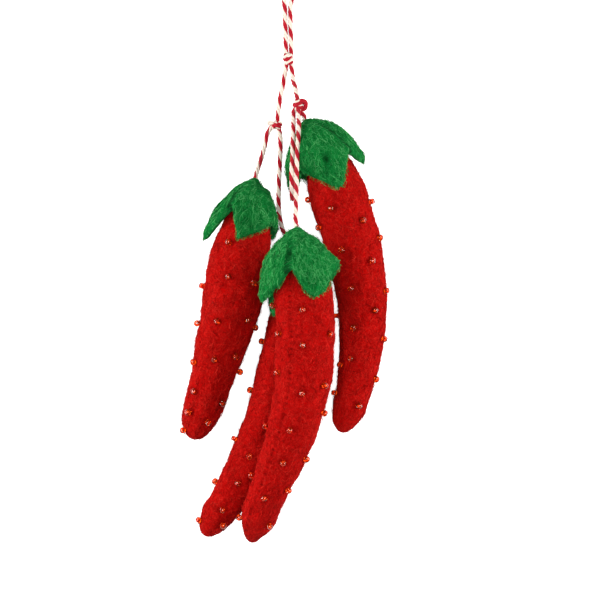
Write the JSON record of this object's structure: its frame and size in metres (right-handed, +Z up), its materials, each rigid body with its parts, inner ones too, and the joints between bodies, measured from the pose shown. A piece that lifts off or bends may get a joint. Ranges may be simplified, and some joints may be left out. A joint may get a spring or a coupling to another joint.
{
  "type": "felt chilli string ornament",
  "caption": "Hanging bunch of stuffed red felt chillies sewn with orange-red glass seed beads, with square green felt caps and red-and-cream twine.",
  "frame": {"origin": "on the table under the middle of the chillies and caps, without the twine", "axes": "+X to the right and +Y towards the hanging loop as seen from above, +Z up from the table"},
  "size_m": [0.0758, 0.211, 0.0513],
  "materials": {
    "chilli_felt": "matt",
    "cap_felt": "matt",
    "twine": "matt"
  },
  "bodies": {
    "root": {"chilli_left": "chilli_felt", "chilli_back": "chilli_felt", "chilli_front": "chilli_felt", "chilli_right": "chilli_felt", "cap_left": "cap_felt", "cap_back": "cap_felt", "cap_front": "cap_felt", "cap_right": "cap_felt", "twine_loop": "twine", "twine_left_rise": "twine", "twine_left_drop": "twine", "twine_right_rise": "twine", "twine_right_drop": "twine", "twine_back": "twine", "twine_front": "twine", "twine_tail": "twine", "knot_top": "twine", "knot_left": "twine", "knot_right": "twine"}
  },
  "joints": []
}
